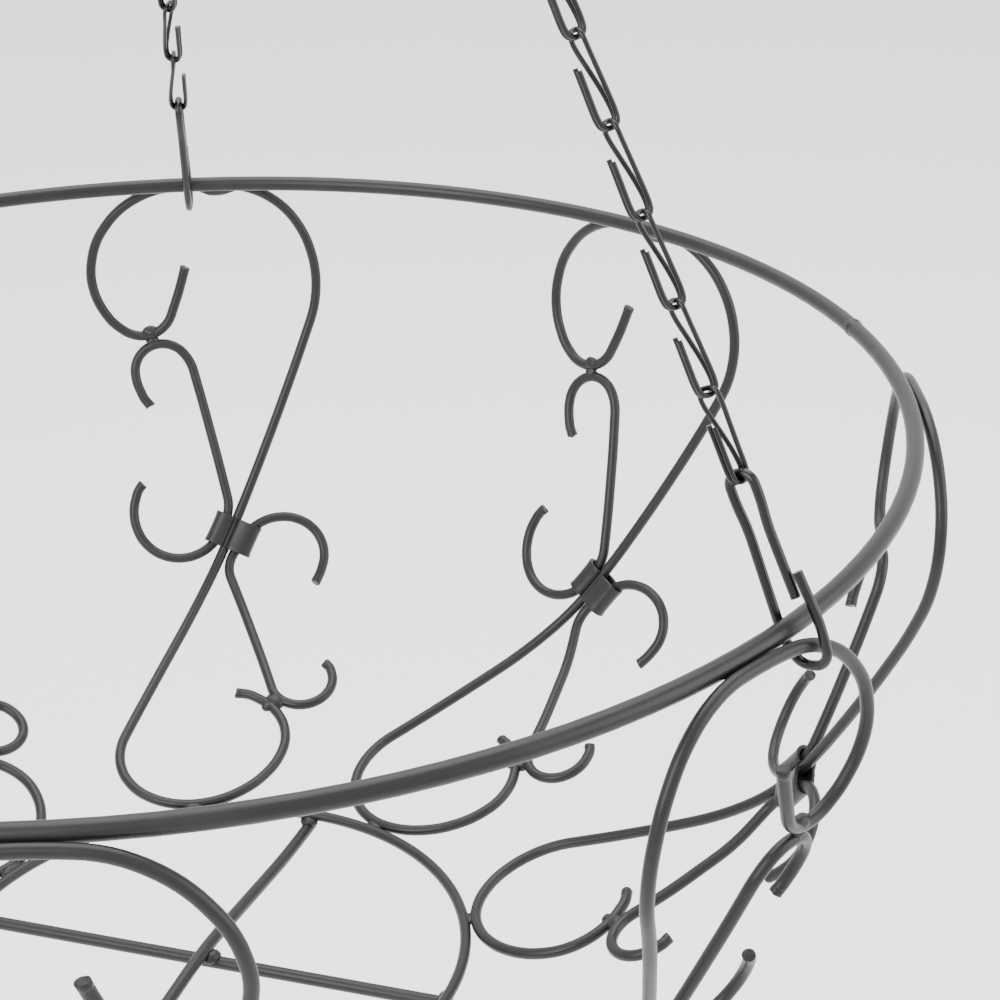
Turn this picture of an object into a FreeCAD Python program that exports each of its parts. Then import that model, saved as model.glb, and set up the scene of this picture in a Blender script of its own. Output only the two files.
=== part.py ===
import FreeCAD, Part
import math
import os

os.makedirs("parts", exist_ok=True)

V = FreeCAD.Vector

# Wire hanging basket: a rim rod, eight scroll panels, a bottom ring with two
# crossed bars, and three chains gathered under a bent-wire hook.
# Millimetres. Z is up; the origin is where the hook rests on its support.

# ---- driving dimensions --------------------------------------------------
rim_r = 208.0
rim_d = 5.0
scroll_d = 3.5
ring_s = 245.8
ring_d = 3.5
bar_d = 4.0
bar_az = (151.0, 61.0)
weld_gap = 0.03
step_foot = 58.0
step_half = 7.0
# the panels are set by hand, so their spacing is uneven by a degree or so
panel_az = (83.5, 37.9, -7.9, -53.4, -98.8, -143.0, 173.4, 129.8)

# bowl profile of a panel, from its top down: length and inward turn of each arc
panel_out = 4.1
panel_drop = 1.3
profile_lean = 7.9
profile = [(66.6, -28.5), (58.2, -4.9), (39.1, -36.3), (83.2, -14.6)]

# collar: a strip 1.2 thick folded round the three wires side by side
collar_len = 12.0
collar_w = 18.0
strip = 1.2
collar_gap = 1.2
collar_gap_x = -0.9
collar_ease = 0.4
collar_in = 0.3
collar_x = -3.8
collar_s = 128.6
collar_turn = 26.0

# chains
chain_az = (84.7, -48.4, 173.5)
chain_name = ("back", "right", "left")
chain_off = (9.0, 0.0, -9.0)
link_d = 1.3
link_h = 22.9
link_eye_r = 2.9
link_pair = 0.7
link_j_r = 2.6
links = 20
end_d = 2.5
end_low = 35.0
end_top = 28.0
apex_h = 439.8
# turn of the links about the chain: the first, those above it, and more
# for each of the upper ones, so that the last grips the top link squarely
first_turn = -4.0
low_turn = -22.0
straight_links = 8
top_turn = -90.0

# hook and gather ring, in two upright planes square to each other
hook_d = 4.0
hook_r = 18.0
eye_r = 9.0
eye_z = -73.0
gather_d = 3.5
gather_az = 39.3
gather_top = -77.9
gather_bend = 4.5
apex_z = -108.1
rim_z = apex_z - apex_h


def pol(r, az, z):
    a = math.radians(az)
    return V(r * math.cos(a), r * math.sin(a), z)


def save(name, shapes):
    if len(shapes) == 1:
        shapes[0].exportStep("parts/" + name + ".step")
    else:
        Part.makeCompound(shapes).exportStep("parts/" + name + ".step")


def bent_path(corners, radius=None):
    # straight runs joined by tangent arcs; with no radius each arc is as large as fits
    edges = []
    last = corners[0]
    for i in range(1, len(corners) - 1):
        back = corners[i - 1] - corners[i]
        ahead = corners[i + 1] - corners[i]
        room = 0.47 * min(back.Length, ahead.Length)
        back.normalize()
        ahead.normalize()
        half = back.getAngle(ahead) / 2.0
        if half > math.radians(89.9):
            continue
        cut = room
        if radius:
            cut = min(room, radius / math.tan(half))
        bow = cut * math.tan(half)
        mid = back + ahead
        mid.normalize()
        near = corners[i] + back * cut
        far = corners[i] + ahead * cut
        top = corners[i] + mid * (bow / math.sin(half) - bow)
        edges.append(Part.makeLine(last, near))
        edges.append(Part.Arc(near, top, far).toShape())
        last = far
    edges.append(Part.makeLine(last, corners[-1]))
    return Part.Wire(edges)


def bent_wire(corners, dia, radius=None):
    # solid round wire bent along the corners
    path = bent_path(corners, radius)
    circle = Part.Wire([Part.makeCircle(dia / 2.0, corners[0], corners[1] - corners[0])])
    return path.makePipe(Part.Face(circle))


def bend(start, heading, steps):
    # flat path of a wire on the bender: each step is a length and a turn in degrees;
    # the corners returned are where the tangents of its arcs meet
    x, s = start
    h = math.radians(heading)
    corners = [(x, s)]
    for length, turn in steps:
        n = max(1, math.ceil(abs(turn) / 26.0), math.ceil(length / 26.0))
        part = length / n
        t = math.radians(turn) / n
        reach = part / t * math.tan(t / 2.0)
        for i in range(n):
            corners.append((x + reach * math.cos(h), s + reach * math.sin(h)))
            x += reach * (math.cos(h) + math.cos(h + t))
            s += reach * (math.sin(h) + math.sin(h + t))
            h += t
    corners.append((x, s))
    return corners


def bowl(s):
    # radius, height below the rim and lean of the bowl at distance s down it
    r = rim_r + panel_out
    z = -panel_drop
    h = math.radians(profile_lean)
    if s < 0:
        return r + s * math.sin(h), z - s * math.cos(h), h
    left = s
    for length, turn in profile:
        part = min(left, length)
        k = math.radians(turn) / length
        h2 = h + k * part
        r += (math.cos(h) - math.cos(h2)) / k
        z -= (math.sin(h2) - math.sin(h)) / k
        h = h2
        left -= part
        if left <= 0:
            break
    return r + left * math.sin(h), z - left * math.cos(h), h


def on_panel(x, s, az):
    # point of a panel: x sideways, s down the bowl
    r, z, h = bowl(s)
    a = math.radians(az)
    px = r * math.cos(a) - x * math.sin(a)
    py = r * math.sin(a) + x * math.cos(a)
    return V(px, py, z + rim_z)


# ---- bends of the three wires of a panel, as on a wire bender --------------
big_scroll = bend((8.2, 31.4), 72.2, [
    (17.9, -3.7), (20.7, -105.5), (28.6, -66.0), (44.7, -72.9), (15.6, -4.9),
    (30.6, -58.2), (38.9, -52.2), (106.6, -4.6), (64.9, 5.2), (22.9, 55.6),
    (30.1, 66.7), (33.8, 59.6), (35.3, 97.7)])
left_scroll = bend((23.6, 80.6), -50.9, [
    (12.6, -34.9), (24.4, -142.3), (7.9, -29.0), (47.1, -1.9), (9.3, -38.5),
    (2.9, 5.5), (38.2, -136.7), (18.0, -57.0)])
right_scroll = bend((-32.8, 147.8), -118.6, [
    (6.8, 10.4), (20.6, 85.0), (21.2, 73.1), (9.0, 10.0), (9.0, 49.1),
    (49.3, -4.1), (24.3, 129.7), (13.9, 72.2)])


def collar_solid(az):
    # folded strip: two round lobes, its ends meeting in a groove inside
    half = collar_w / 2.0
    high = scroll_d / 2.0 + collar_ease + strip

    def slot(w, h, depth, y0):
        box = Part.makeBox(2 * (w - h), depth, 2 * h, V(-(w - h), y0, -h))
        a = Part.makeCylinder(h, depth, V(w - h, y0, 0), V(0, 1, 0))
        b = Part.makeCylinder(h, depth, V(h - w, y0, 0), V(0, 1, 0))
        return box.fuse(a).fuse(b).removeSplitter()

    outer = slot(half, high, collar_len, -collar_len / 2.0)
    inner = slot(half - strip, high - strip, collar_len + 2, -collar_len / 2.0 - 1)
    gap = Part.makeBox(collar_gap, collar_len + 2, high, V(collar_gap_x, -collar_len / 2.0 - 1, -high))
    body = outer.cut(inner).cut(gap)
    c = on_panel(collar_x, collar_s, az)
    r, z, h = bowl(collar_s)
    a = math.radians(az)
    side = V(-math.sin(a), math.cos(a), 0)
    down = V(math.sin(h) * math.cos(a), math.sin(h) * math.sin(a), -math.cos(h))
    t = math.radians(collar_turn)
    # the collar runs along the big scroll where it crosses the middle
    along = down * math.cos(t) + side * math.sin(t)
    out = V(math.cos(h) * math.cos(a), math.cos(h) * math.sin(a), math.sin(h))
    across = along.cross(out)
    c = c - out * collar_in
    m = FreeCAD.Matrix(
        across.x, along.x, out.x, c.x,
        across.y, along.y, out.y, c.y,
        across.z, along.z, out.z, c.z,
        0, 0, 0, 1)
    return body.transformGeometry(m)


# ---- panels ----------------------------------------------------------------
for p, az in enumerate(panel_az):
    tag = "panel_%d_" % (p + 1)
    for name, path in (("big_scroll", big_scroll), ("left_scroll", left_scroll),
                       ("right_scroll", right_scroll)):
        pts = [on_panel(x, s, az) for x, s in path]
        save(tag + name, [bent_wire(pts, scroll_d)])
    save(tag + "collar", [collar_solid(az)])

# ---- rim, bottom ring and bars ---------------------------------------------
save("rim", [Part.makeTorus(rim_r, rim_d / 2.0, V(0, 0, rim_z))])
ring_r, ring_drop, ring_lean = bowl(ring_s)
ring_z = rim_z + ring_drop
save("bottom_ring", [Part.makeTorus(ring_r, ring_d / 2.0, V(0, 0, ring_z))])

# the bars lie under the ring; the second steps over the first in the middle
bar_z = ring_z - (ring_d + bar_d) / 2.0 - weld_gap
under = [pol(-ring_r, bar_az[0], bar_z), pol(ring_r, bar_az[0], bar_z)]
rod = Part.makeCylinder(bar_d / 2.0, 2 * ring_r, under[0], under[1] - under[0])
save("bottom_bar_under", [rod])
step_z = bar_z + bar_d + weld_gap
over = [pol(-ring_r, bar_az[1], bar_z), pol(-step_foot, bar_az[1], bar_z),
        pol(-step_half, bar_az[1], step_z), pol(step_half, bar_az[1], step_z),
        pol(step_foot, bar_az[1], bar_z), pol(ring_r, bar_az[1], bar_z)]
save("bottom_bar_over", [bent_wire(over, bar_d)])

# ---- hook: crown, shank and a closed eye in one flat bend --------------------
flat = [(-hook_r - 2.5, -27.0), (-hook_r - 0.6, -21.0)]
for i in range(9):
    a = math.radians(180.0 - 22.5 * i)
    flat.append((hook_r * math.cos(a), hook_d / 2.0 - hook_r + hook_r * math.sin(a)))
flat += [(16.2, -26.0), (10.0, -36.0), (3.4, -44.0), (0.4, -52.0), (0.6, -59.0)]
for i in range(13):
    a = math.radians(52.0 - 23.0 * i)
    flat.append((eye_r * math.cos(a), eye_z + eye_r * math.sin(a)))
save("hook", [bent_wire([pol(u, gather_az + 90.0, z) for u, z in flat], hook_d)])

# ---- gather ring: a welded rounded triangle --------------------------------
loop = [V(0, 0, gather_top), V(7.2, 0, gather_top), V(19.0, 0, apex_z), V(-19.0, 0, apex_z),
        V(-7.2, 0, gather_top), V(0, 0, gather_top)]
start = Part.Wire([Part.makeCircle(gather_d / 2.0, loop[0], V(1, 0, 0))])
tube = bent_path(loop, gather_bend).makePipe(start)
gather = Part.Solid(Part.Shell(tube.Faces))
gather.rotate(V(0, 0, 0), V(0, 0, 1), gather_az)
save("gather_ring", [gather])

# ---- chain link: one wire folded into an eye and a double hook --------------
link_corners = [
    (-link_pair, -link_j_r, 15.0), (-link_pair, -link_j_r, 0.0), (-link_pair, link_j_r, 0.0),
    (-link_eye_r, 0.0, link_h), (link_eye_r, 0.0, link_h),
    (link_pair, link_j_r, 0.0), (link_pair, -link_j_r, 0.0), (link_pair, -link_j_r, 14.4)]
link_solid = bent_wire([V(*q) for q in link_corners], link_d, link_j_r)

# ---- end links: lower one hooks under the rim, upper one over the gather ring
low_pts = [
    (3.3, 6.0), (2.9, 24.0), (3.7, 30.6), (3.5, 37.15), (-3.5, 37.15), (-3.7, 30.6),
    (-2.95, 24.0), (-4.1, 1.0), (-4.1, -3.5), (-2.2, -10.0), (5.8, -11.4), (7.4, -2.0),
    (6.3, 12.0)]
low_link = bent_wire([V(u, 0, w) for u, w in low_pts], end_d)
up_pts = [
    (5.1, -9.0), (5.0, 3.7), (-5.0, 3.7), (-5.0, -6.0), (-3.2, -15.0), (-3.2, -30.0),
    (3.2, -30.0), (3.2, -16.0), (2.6, -9.4)]
up_link = bent_wire([V(u, 0, w) for u, w in up_pts], end_d)


def place(shape, origin, ux, ty, wz):
    m = FreeCAD.Matrix(
        ux.x, ty.x, wz.x, origin.x,
        ux.y, ty.y, wz.y, origin.y,
        ux.z, ty.z, wz.z, origin.z,
        0, 0, 0, 1)
    copy = shape.copy()
    copy.Placement = FreeCAD.Placement(m)
    return copy


for k in range(3):
    foot = pol(rim_r, chain_az[k], rim_z)
    top = pol(chain_off[k], gather_az, apex_z)
    w = top - foot
    span = w.Length
    w.normalize()
    t0 = pol(1.0, chain_az[k] + 90.0, 0)
    u = t0.cross(w)
    u.normalize()
    t = w.cross(u)
    name = "chain_" + chain_name[k] + "_"
    save(name + "end_link", [place(low_link, foot, u, t, w)])
    save(name + "top_link", [place(up_link, top, u, t, w)])
    pitch = (span - end_low - end_top - link_h) / (links - 1)
    group = []
    made = 0
    for i in range(links):
        base = foot + w * (end_low + pitch * i)
        turn = low_turn
        if i == 0:
            turn = first_turn
        if i >= straight_links:
            turn += (top_turn - low_turn) * (i + 1 - straight_links) / (links - straight_links)
        a = math.radians(turn)
        ui = u * math.cos(a) + t * math.sin(a)
        ti = w.cross(ui)
        group.append(place(link_solid, base, ui, ti, w))
        if len(group) == links // 4:
            made += 1
            save(name + "links_%d" % made, group)
            group = []
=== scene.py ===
import math

import bmesh
import bpy
from mathutils import Matrix, Vector


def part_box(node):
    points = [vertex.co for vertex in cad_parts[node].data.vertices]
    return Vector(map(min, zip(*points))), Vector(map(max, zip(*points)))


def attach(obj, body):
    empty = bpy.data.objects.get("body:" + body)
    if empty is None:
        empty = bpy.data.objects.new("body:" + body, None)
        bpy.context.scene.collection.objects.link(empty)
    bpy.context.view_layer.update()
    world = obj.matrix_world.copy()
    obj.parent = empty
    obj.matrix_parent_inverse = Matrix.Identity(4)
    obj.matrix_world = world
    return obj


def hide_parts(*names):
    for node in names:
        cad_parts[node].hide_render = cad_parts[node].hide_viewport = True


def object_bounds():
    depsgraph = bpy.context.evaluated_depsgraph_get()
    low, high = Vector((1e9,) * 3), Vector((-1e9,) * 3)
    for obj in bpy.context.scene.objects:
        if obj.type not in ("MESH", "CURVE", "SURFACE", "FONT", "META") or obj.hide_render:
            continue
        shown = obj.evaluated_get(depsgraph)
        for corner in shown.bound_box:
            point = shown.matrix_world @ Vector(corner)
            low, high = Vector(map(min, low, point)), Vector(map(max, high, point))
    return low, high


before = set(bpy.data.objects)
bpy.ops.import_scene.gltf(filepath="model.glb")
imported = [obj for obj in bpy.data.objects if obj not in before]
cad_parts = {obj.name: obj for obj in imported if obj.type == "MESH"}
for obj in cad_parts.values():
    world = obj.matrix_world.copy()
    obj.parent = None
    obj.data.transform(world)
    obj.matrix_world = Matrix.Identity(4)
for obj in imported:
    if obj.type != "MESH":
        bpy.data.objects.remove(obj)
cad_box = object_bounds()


# ---- powder coat on the basket's steel wire --------------------------------
# Mild steel wire, satin black polyester powder coat, baked on. It gives a dark
# charcoal with broad soft highlights, faint orange peel and a trace of dust.
mm = 0.001
clouds_per_metre = 45.0     # pale dust lies in clouds about 22 mm apart
specks_per_metre = 900.0    # and in specks about 1.1 mm apart, as coarse as they need to show


def srgb(code):
    # an sRGB hex colour as linear values
    values = [int(code[i:i + 2], 16) / 255.0 for i in (1, 3, 5)]
    linear = [v / 12.92 if v <= 0.04045 else ((v + 0.055) / 1.055) ** 2.4 for v in values]
    return (*linear, 1.0)


def add(tree, kind, inputs=None, **settings):
    # a node with its settings; each input is given a value, or the socket that feeds it
    made = tree.nodes.new(kind)
    for key, value in settings.items():
        setattr(made, key, value)
    for key, value in (inputs or {}).items():
        if isinstance(value, bpy.types.NodeSocket):
            tree.links.new(value, made.inputs[key])
        else:
            made.inputs[key].default_value = value
    return made


def coated_steel(name, colour, pale, rough, spread, peel_mm, peel_depth, shine, gloss):
    # a coat and its dust colour, roughness give or take its spread, orange peel's width and
    # depth in mm, the skin's shine, and how much clear gloss lies over it
    mat = bpy.data.materials.new(name)
    mat.use_nodes = True
    tree = mat.node_tree
    tree.nodes.clear()
    place = add(tree, "ShaderNodeTexCoord").outputs["Object"]
    peel = add(tree, "ShaderNodeTexNoise",
               {"Vector": place, "Scale": 1.0 / (peel_mm * mm), "Detail": 3.0, "Roughness": 0.5})
    clouds = add(tree, "ShaderNodeTexNoise",
                 {"Vector": place, "Scale": clouds_per_metre, "Detail": 4.0, "Roughness": 0.6})
    grit = add(tree, "ShaderNodeTexNoise",
               {"Vector": place, "Scale": specks_per_metre, "Detail": 2.0, "Roughness": 0.7})
    dusty = add(tree, "ShaderNodeMapRange",
                {"Value": clouds.outputs["Fac"], "From Min": 0.48, "From Max": 0.75,
                 "To Min": 0.0, "To Max": 0.55})
    specks = add(tree, "ShaderNodeMapRange",
                 {"Value": grit.outputs["Fac"], "From Min": 0.62, "From Max": 0.74,
                  "To Min": 0.0, "To Max": 0.5})
    dust = add(tree, "ShaderNodeMath", {0: dusty.outputs["Result"], 1: specks.outputs["Result"]},
               operation="MAXIMUM")
    tint = add(tree, "ShaderNodeMix",
               {"Factor": dust.outputs[0], 6: srgb(colour), 7: srgb(pale)}, data_type="RGBA")
    matt = add(tree, "ShaderNodeMapRange",
               {"Value": clouds.outputs["Fac"], "From Min": 0.3, "From Max": 0.7,
                "To Min": rough - spread, "To Max": rough + spread})
    bump = add(tree, "ShaderNodeBump",
               {"Height": peel.outputs["Fac"], "Strength": 0.6, "Distance": peel_depth * mm})
    skin = add(tree, "ShaderNodeBsdfPrincipled",
               {"Base Color": tint.outputs[2], "Roughness": matt.outputs["Result"],
                "Normal": bump.outputs["Normal"], "IOR": 1.5,
                "Specular IOR Level": shine, "Coat Weight": gloss,
                "Coat Roughness": 0.18})
    add(tree, "ShaderNodeOutputMaterial", {"Surface": skin.outputs["BSDF"]})
    return mat


powder_coat = coated_steel("satin_black_powder_coat", "#181819", "#242322",
                           rough=0.36, spread=0.06, peel_mm=1.4, peel_depth=0.06,
                           shine=0.26, gloss=0.0)


def dress(node, material):
    # a CAD node that keeps its shape gets the material
    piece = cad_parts[node]
    piece.data.materials.clear()
    piece.data.materials.append(material)


# ---- rim, bottom ring, bars and scroll wires -------------------------------
# Round mild steel: a 5 mm rim rod, 3.5 mm scrolls and ring, 4 mm crossed bars.
# Bent cold, welded, then coated together; the solids keep their true shape.
panel_count = 8
scrolls = ["panel_%d_%s_scroll" % (p, side) for p in range(1, panel_count + 1)
           for side in ("big", "left", "right")]
for node in ["rim", "bottom_ring", "bottom_bar_under", "bottom_bar_over", *scrolls]:
    dress(node, powder_coat)


# ---- collars ---------------------------------------------------------------
# A strip of 1.2 mm sheet steel folded round each bundle of three wires and
# crimped: rounded lobes, rolled edges, and the two ends meeting in a groove.
panel_az = (83.5, 37.9, -7.9, -53.4, -98.8, -143.0, 173.4, 129.8)
collar_lean = -28.9         # the bowl's lean where the collars sit, in degrees
collar_turn = 26.0          # each is turned this far from straight down its panel
collar_long = 11.6          # along the wires, in mm
collar_half = 8.55          # half its width across the wires
collar_high = 3.3           # half its thickness
collar_sheet = 1.2
groove_at = -0.9            # the strip's ends meet this far off the middle
groove_half = 0.45
strip_level = 0.99          # the flat stretches, as a share of the lobes' height
strip_dent = 0.93           # the pinch of the back between two wires
lobe_steps = 14
ring_count = 7
edge_flare = 0.28           # how far the strip's edges roll out


def panel_frame(p, lean):
    # sideways, down and outward directions of a panel at a given lean
    a = math.radians(panel_az[p - 1])
    h = math.radians(lean)
    side = Vector((-math.sin(a), math.cos(a), 0.0))
    down = Vector((math.sin(h) * math.cos(a), math.sin(h) * math.sin(a), -math.cos(h)))
    out = Vector((math.cos(h) * math.cos(a), math.cos(h) * math.sin(a), math.sin(h)))
    return side, down, out


def strip_face(outside, flare):
    # one face of the folded strip, from lip to lip of the groove, in mm; its ends turn in
    # and tuck between the wires
    shrink = 0.0 if outside else collar_sheet
    half = collar_half - shrink + flare
    high = collar_high - shrink + flare
    lip = groove_half if outside else groove_half + 1.0
    tuck = 1.7 if outside else 1.2
    dip = 0.55 if outside else 0.2
    turn_in = 0.4
    shoulder = 1.5
    pinch = 1.6
    level = high * strip_level
    path = [(groove_at - lip, -high + tuck), (groove_at - lip - turn_in, -high + dip),
            (groove_at - lip - shoulder, -level)]
    for i in range(lobe_steps + 1):
        a = math.radians(-90.0 - 180.0 * i / lobe_steps)
        path.append((-half + high + high * math.cos(a), high * math.sin(a)))
    path += [(groove_at - pinch, level), (groove_at, high * strip_dent),
             (groove_at + pinch, level)]
    for i in range(lobe_steps + 1):
        a = math.radians(90.0 - 180.0 * i / lobe_steps)
        path.append((half - high + high * math.cos(a), high * math.sin(a)))
    path += [(groove_at + lip + shoulder, -level), (groove_at + lip + turn_in, -high + dip),
             (groove_at + lip, -high + tuck)]
    return path


def strip_section(flare):
    return strip_face(True, flare) + strip_face(False, flare)[::-1]


def make_collar(p):
    node = "panel_%d_collar" % p
    low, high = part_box(node)
    centre = (low + high) / 2.0
    side, down, out = panel_frame(p, collar_lean)
    t = math.radians(collar_turn)
    along = down * math.cos(t) + side * math.sin(t)
    across = along.cross(out)
    mesh = bmesh.new()
    rings = []
    for i in range(ring_count):
        f = 2.0 * i / (ring_count - 1) - 1.0
        flare = edge_flare * abs(f) ** 6
        ring = []
        for x, z in strip_section(flare):
            where = centre + (across * x + along * (f * collar_long / 2.0) + out * z) * mm
            ring.append(mesh.verts.new(where))
        rings.append(ring)
    count = len(rings[0])
    for a, b in zip(rings, rings[1:]):
        for k in range(count):
            mesh.faces.new((a[k], a[(k + 1) % count], b[(k + 1) % count], b[k]))
    mesh.faces.new(rings[0])
    mesh.faces.new(rings[-1])
    bmesh.ops.triangulate(mesh, faces=[f for f in mesh.faces if len(f.verts) > 4])
    bmesh.ops.recalc_face_normals(mesh, faces=mesh.faces)
    data = bpy.data.meshes.new(node + "_strip")
    mesh.to_mesh(data)
    mesh.free()
    piece = bpy.data.objects.new("panel_%d_crimped_collar" % p, data)
    bpy.context.scene.collection.objects.link(piece)
    for face in data.polygons:
        face.use_smooth = True
    soft = piece.modifiers.new("rolled_edge", "BEVEL")
    soft.width = 0.28 * mm
    soft.segments = 3
    soft.limit_method = "ANGLE"
    soft.angle_limit = math.radians(50.0)
    data.materials.append(powder_coat)
    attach(piece, "basket")
    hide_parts(node)


for p in range(1, panel_count + 1):
    make_collar(p)


# ---- chain links -----------------------------------------------------------
# Folded wire chain: each link is one 1.3 mm wire bent into an eye above and a
# double hook below that grips the next eye. Steel, dipped in glossy black.
lacquer = coated_steel("glossy_black_lacquer", "#0c0c0d", "#151516",
                       rough=0.25, spread=0.05, peel_mm=2.2, peel_depth=0.03,
                       shine=0.26, gloss=0.12)
rim_r = 208.0
apex_z = -108.1             # where the three chains' lines meet the gather ring
apex_h = 439.8              # and how far that is above the rim
rim_z = apex_z - apex_h
gather_az = 39.3            # the gather ring's own plane, in degrees round the basket
# each chain's azimuth on the rim, and its place along the gather ring in mm
chains = {"back": (84.7, 9.0), "right": (-48.4, 0.0), "left": (173.5, -9.0)}
link_count = 20
link_high = 22.9
below_links = 35.0          # taken by the end link
above_links = 28.0          # taken by the top link
first_turn = -4.0           # links turn about the chain: the first, the low ones, the last
low_turn = -22.0
top_turn = -90.0
straight_links = 8
link_wire = 1.3
# half of a link, from a hook's free leg round to the eye: across, behind and up, in mm
half_link = [
    (0.7, -2.6, 9.0), (0.7, -2.6, 3.4), (0.7, -2.1, 0.8), (0.7, 0.0, 0.0),
    (0.7, 2.1, 0.8), (0.75, 2.5, 3.4), (1.1, 2.0, 8.0), (2.0, 1.1, 13.5),
    (2.9, 0.2, 18.5), (3.05, 0.0, 21.2), (1.9, 0.0, 22.9)]
link_bends = [(-0.75, -2.7, 15.0), *[(-x, y, z) for x, y, z in half_link],
              (0.0, 0.0, 22.95), *half_link[::-1], (0.75, -2.75, 14.2)]


def polar(radius, az, z):
    a = math.radians(az)
    return Vector((radius * math.cos(a), radius * math.sin(a), z))


def wire_mesh(name, bends, diameter, resolution):
    # a round wire along a smooth curve through its bends, with its ends cut square
    line = bpy.data.curves.new(name, "CURVE")
    line.dimensions = "3D"
    line.bevel_depth = diameter / 2.0 * mm
    line.bevel_resolution = resolution
    line.use_fill_caps = True
    line.resolution_u = 3
    run = line.splines.new("NURBS")
    run.points.add(len(bends) - 1)
    for point, (x, y, z) in zip(run.points, bends):
        point.co = (x * mm, y * mm, z * mm, 1.0)
    run.order_u = 3
    run.use_endpoint_u = True
    holder = bpy.data.objects.new(name, line)
    bpy.context.scene.collection.objects.link(holder)
    graph = bpy.context.evaluated_depsgraph_get()
    mesh = bpy.data.meshes.new_from_object(holder.evaluated_get(graph))
    bpy.data.objects.remove(holder)
    return mesh


def rows_tree():
    # puts one shape on every point, turned and sized as the point says, and roughens it
    tree = bpy.data.node_groups.new("links_in_a_row", "GeometryNodeTree")
    face = tree.interface
    face.new_socket("Geometry", in_out="INPUT", socket_type="NodeSocketGeometry")
    face.new_socket("Shape", in_out="INPUT", socket_type="NodeSocketObject")
    face.new_socket("Finish", in_out="INPUT", socket_type="NodeSocketMaterial")
    face.new_socket("Roughen", in_out="INPUT", socket_type="NodeSocketFloat")
    face.new_socket("Grain", in_out="INPUT", socket_type="NodeSocketFloat")
    face.new_socket("Geometry", in_out="OUTPUT", socket_type="NodeSocketGeometry")
    given = add(tree, "NodeGroupInput").outputs
    shape = add(tree, "GeometryNodeObjectInfo", {"Object": given["Shape"]})
    turn = add(tree, "GeometryNodeInputNamedAttribute", {"Name": "turn"},
               data_type="FLOAT_VECTOR")
    size = add(tree, "GeometryNodeInputNamedAttribute", {"Name": "size"},
               data_type="FLOAT_VECTOR")
    spots = add(tree, "GeometryNodeMeshToPoints", {"Mesh": given["Geometry"]})
    row = add(tree, "GeometryNodeInstanceOnPoints",
              {"Points": spots.outputs[0], "Instance": shape.outputs["Geometry"],
               "Rotation": turn.outputs[0], "Scale": size.outputs[0]})
    real = add(tree, "GeometryNodeRealizeInstances", {"Geometry": row.outputs[0]})
    where = add(tree, "GeometryNodeInputPosition")
    lumps = add(tree, "ShaderNodeTexNoise",
                {"Vector": where.outputs[0], "Scale": given["Grain"], "Detail": 2.0})
    middle = add(tree, "ShaderNodeVectorMath", {0: lumps.outputs["Color"], 1: (0.5, 0.5, 0.5)},
                 operation="SUBTRACT")
    push = add(tree, "ShaderNodeVectorMath", {0: middle.outputs[0], "Scale": given["Roughen"]},
               operation="SCALE")
    moved = add(tree, "GeometryNodeSetPosition",
                {"Geometry": real.outputs[0], "Offset": push.outputs[0]})
    smooth = add(tree, "GeometryNodeSetShadeSmooth", {"Geometry": moved.outputs[0]})
    painted = add(tree, "GeometryNodeSetMaterial",
                  {"Geometry": smooth.outputs[0], "Material": given["Finish"]})
    add(tree, "NodeGroupOutput", {"Geometry": painted.outputs[0]})
    return tree


row_tree = rows_tree()


def repeat(name, shape, spots, finish, roughen, grain):
    # spots: place, turning matrix and scale of each copy, in metres
    points = bpy.data.meshes.new(name + "_spots")
    points.from_pydata([spot[0] for spot in spots], [], [])
    turn = points.attributes.new("turn", "FLOAT_VECTOR", "POINT")
    size = points.attributes.new("size", "FLOAT_VECTOR", "POINT")
    for i, (_, rotation, scale) in enumerate(spots):
        turn.data[i].vector = rotation.to_euler("XYZ")
        size.data[i].vector = scale
    piece = bpy.data.objects.new(name, points)
    bpy.context.scene.collection.objects.link(piece)
    pattern = bpy.data.objects.new(name + "_pattern", shape)
    bpy.context.scene.collection.objects.link(pattern)
    rows = piece.modifiers.new("rows", "NODES")
    rows.node_group = row_tree
    values = {"Shape": pattern, "Finish": finish, "Roughen": roughen, "Grain": grain}
    for item in row_tree.interface.items_tree:
        if item.in_out == "INPUT" and item.name in values:
            rows[item.identifier] = values[item.name]
    graph = bpy.context.evaluated_depsgraph_get()
    plain = bpy.data.meshes.new_from_object(piece.evaluated_get(graph))
    piece.modifiers.remove(rows)
    piece.data = plain
    bpy.data.objects.remove(pattern)
    return piece


def columns(x_way, y_way, z_way):
    return Matrix((x_way, y_way, z_way)).transposed()


def chain_axes(name):
    # a chain's foot on the rim, its length, and its outward, sideways and upward directions
    az, offset = chains[name]
    foot = polar(rim_r, az, rim_z)
    up = polar(offset, gather_az, apex_z) - foot
    span = up.length
    up.normalize()
    outward = polar(1.0, az + 90.0, 0.0).cross(up).normalized()
    return foot, span, outward, up.cross(outward), up


link_shape = wire_mesh("folded_link", link_bends, link_wire, resolution=3)
for name in chains:
    foot, span, u_way, t_way, up = chain_axes(name)
    pitch = (span - below_links - above_links - link_high) / (link_count - 1)
    spots = []
    for i in range(link_count):
        turn = first_turn if i == 0 else low_turn
        if i >= straight_links:
            turn += (top_turn - low_turn) * (i + 1 - straight_links) / (link_count - straight_links)
        a = math.radians(turn)
        side = u_way * math.cos(a) + t_way * math.sin(a)
        base = foot + up * (below_links + pitch * i)
        spots.append((base * mm, columns(side, up.cross(side), up), (1.0, 1.0, 1.0)))
    for part, first in (("lower", 0), ("upper", link_count // 2)):
        body = "chain_%s_%s" % (name, part)
        row = repeat(body + "_links", link_shape, spots[first:first + link_count // 2],
                     lacquer, roughen=0.0, grain=1.0)
        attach(row, body)
        groups = (1, 2) if part == "lower" else (3, 4)
        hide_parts(*["chain_%s_links_%d" % (name, g) for g in groups])


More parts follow.
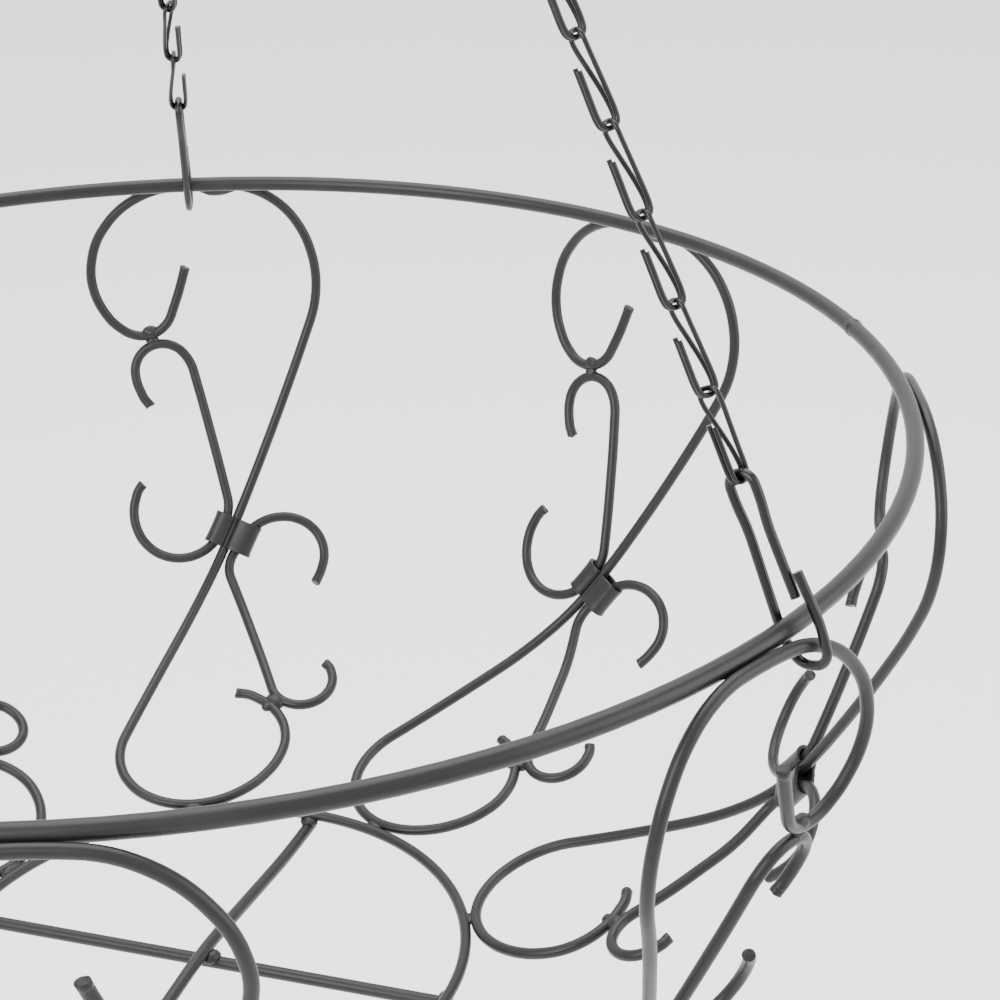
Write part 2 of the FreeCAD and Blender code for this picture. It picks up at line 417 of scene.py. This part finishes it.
# ---- hook, gather ring and end links ---------------------------------------
# A bent 4 mm wire hook with a closed eye, a welded wire triangle in the eye,
# and a longer 2.5 mm link at each end of every chain; all in the glossy black.
for node in ["hook", "gather_ring",
             *["chain_%s_%s_link" % (name, end) for name in chains for end in ("end", "top")]]:
    dress(node, lacquer)


# ---- welds -----------------------------------------------------------------
# Short gas welds where wires touch: on every panel, at the rim and ring, at the
# bars, and the butt joints of rim, ring and hook. Steel beads under the coat.
panel_top = (4.1, -1.3, 7.9)    # out from the rim, height over it, and lean in degrees
# the bowl's four arcs, from the top: length down the panel and how far it leans in
panel_arcs = ((66.6, -28.5), (58.2, -4.9), (39.1, -36.3), (83.2, -14.6))
ring_s = 245.8                  # the bottom ring's distance down the panels
bar_az = (151.0, 61.0)
bead_lumps = 1.3                # how far a bead's surface heaves, in mm
bead_grain = 330.0              # lumps per metre, about 3 mm apart
bead_spread = 0.18              # beads are up to this share larger or smaller


def bowl(s):
    # radius, height over the rim and lean of a panel at distance s down it
    out, z, lean = panel_top
    r, h = rim_r + out, math.radians(lean)
    for length, turn in panel_arcs:
        if s <= 0.0:
            break
        part = min(s, length)
        k = math.radians(turn) / length
        r += (math.cos(h) - math.cos(h + k * part)) / k
        z -= (math.sin(h + k * part) - math.sin(h)) / k
        h += k * part
        s -= part
    return r, z, math.degrees(h)


def on_panel(p, x, s):
    # the point x across and s down a panel, with its directions there
    r, z, lean = bowl(s)
    side, down, out = panel_frame(p, lean)
    return polar(r, panel_az[p - 1], z + rim_z) + side * x, side, down, out


def bead_shape():
    # a ball of radius 1, which each spot's own scale makes a bead
    ball = bmesh.new()
    bmesh.ops.create_icosphere(ball, subdivisions=3, radius=1.0)
    mesh = bpy.data.meshes.new("weld_bead")
    ball.to_mesh(mesh)
    ball.free()
    return mesh


def weld(name, spots, finish, body):
    beads = repeat(name, bead_shape(), spots, finish, bead_lumps * mm, bead_grain)
    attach(beads, body)


# each bead's place across, down and out of its panel, then its half sizes, in mm: two where
# the C scroll meets the big one above, two below, one at the rim and one at the bottom ring
panel_beads = (
    (21.6, 54.2, -0.3, (3.3, 2.7, 2.3)), (21.4, 57.2, 0.0, (2.6, 2.3, 1.9)),
    (-17.9, 198.3, 0.0, (3.2, 2.9, 2.0)), (-15.3, 200.6, -0.4, (2.3, 2.1, 1.9)),
    (-5.5, 0.9, -2.3, (5.5, 1.9, 1.5)), (8.6, 244.3, 0.0, (3.6, 1.9, 1.7)))
spots = []
for p in range(1, panel_count + 1):
    for x, s, lift, size in panel_beads:
        place, side, down, out = on_panel(p, x, s)
        uneven = 1.0 + bead_spread * math.sin(7.0 * p + x)
        spots.append(((place + out * lift) * mm, columns(side, -down, out),
                      [half * uneven * mm for half in size]))
weld("panel_welds", spots, powder_coat, "basket")

ring_r, ring_height, _ = bowl(ring_s)
ring_z = rim_z + ring_height
under_ring = 1.9                # beads of the bars sit this far below the ring's middle
inside_ring = 1.2
bar_bead = (2.6, 3.2, 1.8)
cross_bead = (3.2, 2.8, 2.0)
cross_at = (1.6, -1.2)
joint_half = 3.4                # half length of a butt joint along its rod
# azimuth, radius and height of the rim's and the ring's butt joint, and half its thickness
butt_joints = ((6.0, rim_r, rim_z, 2.75), (-128.0, ring_r, ring_z, 2.0))


def upright(az):
    # outward, along the rim and up, at an azimuth
    way = polar(1.0, az, 0.0)
    return columns(way, Vector((-way.y, way.x, 0.0)), Vector((0, 0, 1)))


spots = []
for az in bar_az:
    for turn in (0.0, 180.0):
        spots.append((polar(ring_r - inside_ring, az + turn, ring_z - under_ring) * mm,
                      upright(az + turn), [half * mm for half in bar_bead]))
spots.append((Vector((*cross_at, ring_z - under_ring)) * mm, Matrix.Identity(3),
              [half * mm for half in cross_bead]))
for az, radius, z, half in butt_joints:
    spots.append((polar(radius, az, z) * mm, upright(az),
                  (half * mm, joint_half * mm, half * mm)))
weld("rim_ring_and_bar_welds", spots, powder_coat, "basket")

# name, azimuth of the wire's plane, place out and up, half sizes, and the body
for name, az, out, z, size, body in (
        ("hook_eye_weld", gather_az + 90.0, 2.4, -63.2, (2.8, 2.3, 2.6), "hook"),
        ("gather_ring_weld", gather_az, 14.3, -95.6, (2.0, 2.0, 2.6), "gather")):
    spot = (polar(out, az, z) * mm, upright(az), [half * mm for half in size])
    weld(name, [spot], lacquer, body)


# ---- sheared wire ends -----------------------------------------------------
# The free ends of the scrolls are cropped in a press, not finished: each has a
# slightly swollen rim, a tilted face and a small burr, all coated over.
end_sides = 20
face_tilt = 0.16            # these and the outline are shares of the wire's radius
burr_high = 0.30
burr_wide = 0.55            # in radians round the end
# height and radius along the cropped end
end_outline = ((-1.0, 0.99), (-0.45, 1.03), (0.05, 1.05), (0.22, 0.98), (0.26, 0.72))


def cropped_end():
    mesh = bmesh.new()
    rings = []
    for height, radius in end_outline:
        ring = []
        for i in range(end_sides):
            a = 2.0 * math.pi * i / end_sides
            tilt = face_tilt * math.cos(a) * (height + 1.0)
            burr = burr_high * math.exp(-((a - math.pi) / burr_wide) ** 2) if height > 0.0 else 0.0
            ring.append(mesh.verts.new((radius * math.cos(a), radius * math.sin(a),
                                        height + tilt + burr * (radius > 0.9))))
        rings.append(ring)
    for low, high in zip(rings, rings[1:]):
        for i in range(end_sides):
            j = (i + 1) % end_sides
            mesh.faces.new((low[i], low[j], high[j], high[i]))
    mesh.faces.new(rings[-1])
    mesh.faces.new(rings[0][::-1])
    bmesh.ops.recalc_face_normals(mesh, faces=mesh.faces)
    shape = bpy.data.meshes.new("cropped_end")
    mesh.to_mesh(shape)
    mesh.free()
    return shape


# each free end's place across and down its panel in mm, and the angle that it points at
free_ends = ((8.2, 31.4, -107.8), (-4.9, 193.5, -11.0), (23.6, 80.6, 129.1),
             (27.8, 109.2, -125.7), (-32.8, 147.8, 61.4), (-35.8, 182.7, -53.2))
scroll_half = 1.75          # the scroll wire's radius
end_lumps = 0.25            # how uneven the crop is, in mm
end_grain = 700.0           # lumps per metre, about 1.4 mm apart
spots = []
for p in range(1, panel_count + 1):
    for x, s, heading in free_ends:
        place, side, down, out = on_panel(p, x, s)
        h = math.radians(heading)
        way = side * math.cos(h) + down * math.sin(h)
        spin = math.radians(57.0 * p + x)
        one = out * math.cos(spin) + way.cross(out) * math.sin(spin)
        spots.append((place * mm, columns(one, way.cross(one), way), [scroll_half * mm] * 3))
ends = repeat("cropped_wire_ends", cropped_end(), spots, powder_coat, end_lumps * mm, end_grain)
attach(ends, "basket")


# ---- camera, light and floor -----------------------------------------------
# Seen from a little above the rim, close to the basket, on a plain pale ground
# with broad soft lamps above and to both sides.
eye = Vector((0.0, -0.6205, -0.2889))       # in metres, and the angles in radians
yaw, pitch, roll = 0.2348, 0.4384, 0.0044
ahead = Vector((math.sin(yaw) * math.cos(pitch), math.cos(yaw) * math.cos(pitch), -math.sin(pitch)))
level = Vector((math.cos(yaw), -math.sin(yaw), 0.0))
head_up = level.cross(ahead)
right_way = level * math.cos(roll) + head_up * math.sin(roll)
up_way = head_up * math.cos(roll) - level * math.sin(roll)
lens = bpy.data.cameras.new("camera")
lens.sensor_width = 36.0
lens.lens = 86.23
lens.shift_x = -0.18
lens.shift_y = -0.003
lens.clip_start = 0.01
camera = bpy.data.objects.new("camera", lens)
camera.matrix_world = Matrix.Translation(eye) @ columns(right_way, up_way, -ahead).to_4x4()
bpy.context.scene.collection.objects.link(camera)
bpy.context.scene.camera = camera

floor_mesh = bpy.data.meshes.new("floor")
floor_drop = 0.35           # metres from the basket's bottom
floor_reach = 6
floor_z = cad_box[0][2] - floor_drop
floor_mesh.from_pydata([(-floor_reach, -floor_reach, floor_z), (floor_reach, -floor_reach, floor_z),
                        (floor_reach, floor_reach, floor_z), (-floor_reach, floor_reach, floor_z)],
                       [], [(0, 1, 2, 3)])
paper = bpy.data.materials.new("pale_paper")
paper.use_nodes = True
paper.node_tree.nodes["Principled BSDF"].inputs["Base Color"].default_value = srgb("#f4f4f4")
paper.node_tree.nodes["Principled BSDF"].inputs["Roughness"].default_value = 0.9
floor_mesh.materials.append(paper)
floor = bpy.data.objects.new("floor", floor_mesh)
bpy.context.scene.collection.objects.link(floor)

centre = Vector((0.0, 0.0, rim_z * mm))
# name, place from the rim's middle and width in metres, and power in watts
lamps = (("key", (-1.3, -1.1, 0.9), 1.5, 40.0), ("fill", (1.6, -0.6, 0.5), 1.6, 22.0),
         ("top", (0.1, 0.5, 1.5), 1.8, 40.0))
for name, offset, wide, power in lamps:
    light = bpy.data.lights.new(name, "AREA")
    light.shape = "DISK"
    light.size = wide
    light.energy = power
    lamp = bpy.data.objects.new(name, light)
    lamp.location = centre + Vector(offset)
    lamp.rotation_euler = (centre - lamp.location).to_track_quat("-Z", "Y").to_euler()
    bpy.context.scene.collection.objects.link(lamp)
world = bpy.data.worlds.new("studio")
world.use_nodes = True
world.node_tree.nodes["Background"].inputs["Color"].default_value = srgb("#ffffff")
world.node_tree.nodes["Background"].inputs["Strength"].default_value = 1.9
bpy.context.scene.world = world
